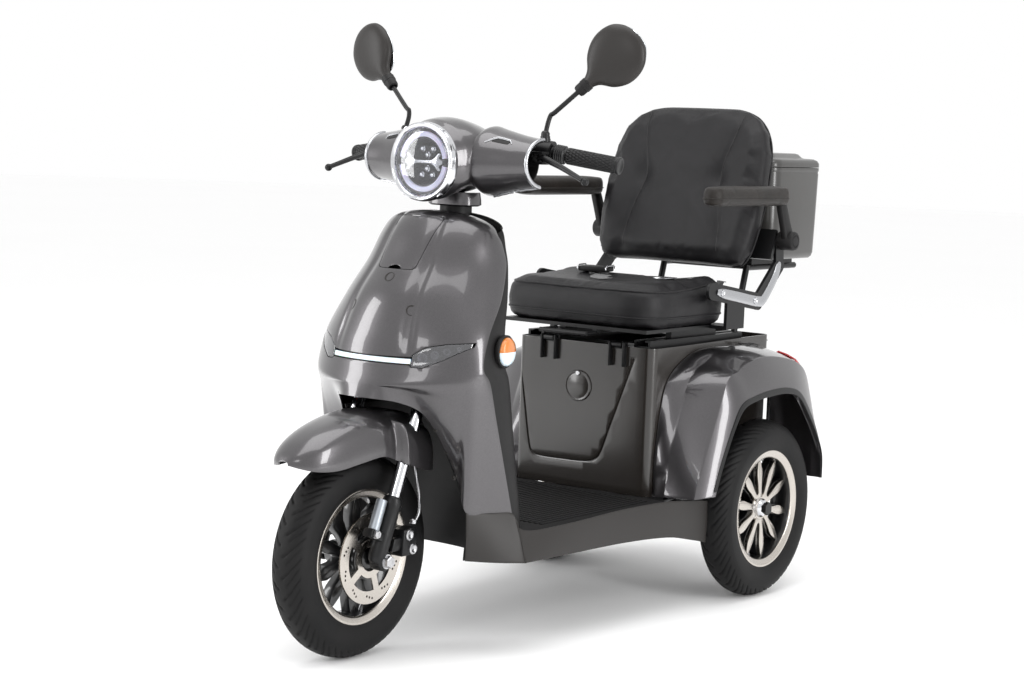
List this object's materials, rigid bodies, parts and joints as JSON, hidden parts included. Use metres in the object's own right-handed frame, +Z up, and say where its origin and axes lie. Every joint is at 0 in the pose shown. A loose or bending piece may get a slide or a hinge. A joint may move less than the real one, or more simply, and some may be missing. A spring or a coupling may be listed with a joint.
{
  "type": "mobility scooter",
  "caption": "Mobility scooter with round headlight, leg shield, flat floor, armchair seat on a box and a top case; it steers, rolls and its seat tips.",
  "frame": {"origin": "on the ground, midway between the two sides and midway along the scooter's length", "axes": "-Y is forward, +X is the rider's left, +Z is up"},
  "size_m": [0.776, 1.7828, 1.3018],
  "materials": {
    "paint": "gloss metallic gunmetal lacquer",
    "dark_gloss": "gloss",
    "case_gloss": "gloss",
    "black_plastic": "moulded grain",
    "satin_plastic": "satin",
    "frame_paint": "satin powder coat",
    "chrome": "polished",
    "steel": "brushed",
    "cast_aluminium": "cast and machined",
    "black_alloy": "black painted",
    "tyre": "matte",
    "grip_rubber": "matte",
    "upholstery": "faux leather",
    "arm_vinyl": "vinyl",
    "webbing": "woven",
    "clear_lens": "clear",
    "white_lens": "translucent",
    "amber_lens": "translucent",
    "red_lens": "translucent",
    "battery_case": "matte"
  },
  "bodies": {
    "chassis": {"frame": "frame_paint", "head_bearings": "steel", "floor_deck": "black_plastic", "floor_skirt": "satin_plastic", "apron": "paint", "leg_shield": "black_plastic", "wheel_well_liner": "black_plastic", "front_light_bar": "white_lens", "front_indicators": "amber_lens", "seat_pedestal": "dark_gloss", "rear_mudguards": "paint", "tail_lamps": "red_lens", "battery_pack": "battery_case", "motor_controller": "cast_aluminium", "charge_socket": "black_plastic", "top_case_rack": "frame_paint", "top_case_body": "case_gloss", "rear_shock_bodies": "frame_paint"},
    "steering": {"fork_crown": "chrome", "front_mudguard": "paint", "handlebar": "frame_paint", "headlight_nacelle": "paint", "cowl_wings": "paint", "headlight_bezel": "chrome", "headlight_lens": "clear_lens", "headlight_reflector": "black_plastic", "dash_display": "black_plastic", "neck_cover": "paint", "left_grip": "grip_rubber", "lever_perches": "black_plastic", "mirror_stems": "frame_paint"},
    "fork_lower": {"fork_sliders": "black_alloy", "front_caliper": "black_alloy"},
    "front_wheel": {"front_tyre": "tyre", "front_rim": "black_alloy", "front_disc": "steel"},
    "rear_axle": {"rear_axle_beam": "frame_paint", "drive_motor": "cast_aluminium"},
    "rear_wheel_left": {"rear_tyre_left": "tyre", "rear_rim_left": "black_alloy"},
    "rear_wheel_right": {"rear_tyre_right": "tyre", "rear_rim_right": "black_alloy"},
    "throttle": {"throttle_grip": "grip_rubber"},
    "lever_left": {"brake_lever_left": "frame_paint"},
    "lever_right": {"brake_lever_right": "frame_paint"},
    "mirror_left": {"mirror_head_left": "black_plastic"},
    "mirror_right": {"mirror_head_right": "black_plastic"},
    "horn": {"horn_button": "black_plastic"},
    "key": {"ignition_key": "steel"},
    "case_lid": {"top_case_lid": "case_gloss"},
    "shield_lid": {"apron_lid": "paint"},
    "port_cover": {"charge_cover": "dark_gloss"},
    "seat_tilt": {"seat_base_plate": "frame_paint"},
    "seat": {"seat_slide": "frame_paint", "seat_cushion": "upholstery", "backrest_cushion": "upholstery", "backrest_bracket": "frame_paint", "lap_belt": "webbing"},
    "arm_left": {"armrest_left": "arm_vinyl"},
    "arm_right": {"armrest_right": "arm_vinyl"}
  },
  "joints": [
    {"name": "steering_turn", "type": "hinge", "parent": "chassis", "child": "steering", "pos_m": [0, -0.4831, 0.67016], "axis": [0, 0.3714, 0.9285], "range_deg": [-35, 35]},
    {"name": "fork_travel", "type": "slide", "parent": "steering", "child": "fork_lower", "axis": [0, 0.3714, 0.9285], "range_m": [0, 0.05], "stiffness_N_per_m": 16000, "springref_m": -0.045},
    {"name": "front_wheel_spin", "type": "hinge", "parent": "fork_lower", "child": "front_wheel", "pos_m": [0, -0.679, 0.21], "axis": [1, 0, 0], "continuous": true},
    {"name": "rear_swing", "type": "hinge", "parent": "chassis", "child": "rear_axle", "pos_m": [0, 0.228, 0.196], "axis": [1, 0, 0], "range_deg": [0, 4], "stiffness_Nm_per_rad": 3000, "springref_deg": -8.59},
    {"name": "rear_wheel_left_spin", "type": "hinge", "parent": "rear_axle", "child": "rear_wheel_left", "pos_m": [0.2885, 0.451, 0.21], "axis": [1, 0, 0], "continuous": true},
    {"name": "rear_wheel_right_spin", "type": "hinge", "parent": "rear_axle", "child": "rear_wheel_right", "pos_m": [-0.2885, 0.451, 0.21], "axis": [1, 0, 0], "continuous": true},
    {"name": "throttle_twist", "type": "hinge", "parent": "steering", "child": "throttle", "pos_m": [-0.20553, -0.31485, 1.03581], "axis": [-0.9709, 0.1966, -0.137], "range_deg": [0, 55], "stiffness_Nm_per_rad": 0.6, "springref_deg": -11.46},
    {"name": "brake_left_pull", "type": "hinge", "parent": "steering", "child": "lever_left", "pos_m": [0.216, -0.37, 1.026], "axis": [0, 0, 1], "range_deg": [0, 16], "stiffness_Nm_per_rad": 3, "springref_deg": -5.73},
    {"name": "brake_right_pull", "type": "hinge", "parent": "steering", "child": "lever_right", "pos_m": [-0.216, -0.37, 1.026], "axis": [0, 0, -1], "range_deg": [0, 16], "stiffness_Nm_per_rad": 3, "springref_deg": -5.73},
    {"name": "mirror_left_tilt", "type": "hinge", "parent": "steering", "child": "mirror_left", "pos_m": [0.26, -0.292, 1.174], "axis": [0, 0, 1], "range_deg": [-12, 12]},
    {"name": "mirror_right_tilt", "type": "hinge", "parent": "steering", "child": "mirror_right", "pos_m": [-0.26, -0.292, 1.174], "axis": [0, 0, 1], "range_deg": [-12, 12]},
    {"name": "horn_press", "type": "slide", "parent": "steering", "child": "horn", "axis": [0, -1, 0], "range_m": [0, 0.003], "stiffness_N_per_m": 600, "springref_m": -0.002},
    {"name": "key_turn", "type": "hinge", "parent": "steering", "child": "key", "pos_m": [0.038, -0.2678, 1.022], "axis": [0, 1, 0], "range_deg": [0, 90]},
    {"name": "case_lid_open", "type": "hinge", "parent": "chassis", "child": "case_lid", "pos_m": [0, 0.64, 1.012], "axis": [1, 0, 0], "range_deg": [0, 50]},
    {"name": "shield_lid_open", "type": "hinge", "parent": "chassis", "child": "shield_lid", "pos_m": [0, -0.495, 0.897], "axis": [1, 0, 0], "range_deg": [-28, 0]},
    {"name": "port_cover_swing", "type": "hinge", "parent": "chassis", "child": "port_cover", "pos_m": [-0.012, 0.126, 0.5235], "axis": [0, 1, 0], "range_deg": [0, 120]},
    {"name": "seat_tip", "type": "hinge", "parent": "chassis", "child": "seat_tilt", "pos_m": [0, 0.124, 0.6004], "axis": [1, 0, 0], "range_deg": [0, 35]},
    {"name": "seat_slide_forward", "type": "slide", "parent": "seat_tilt", "child": "seat", "axis": [0, -1, 0], "range_m": [0, 0.09]},
    {"name": "arm_left_lift", "type": "hinge", "parent": "seat", "child": "arm_left", "pos_m": [0.268, 0.582, 0.8388], "axis": [1, 0, 0], "range_deg": [-95, 0]},
    {"name": "arm_right_lift", "type": "hinge", "parent": "seat", "child": "arm_right", "pos_m": [-0.268, 0.582, 0.8388], "axis": [1, 0, 0], "range_deg": [-95, 0]}
  ]
}
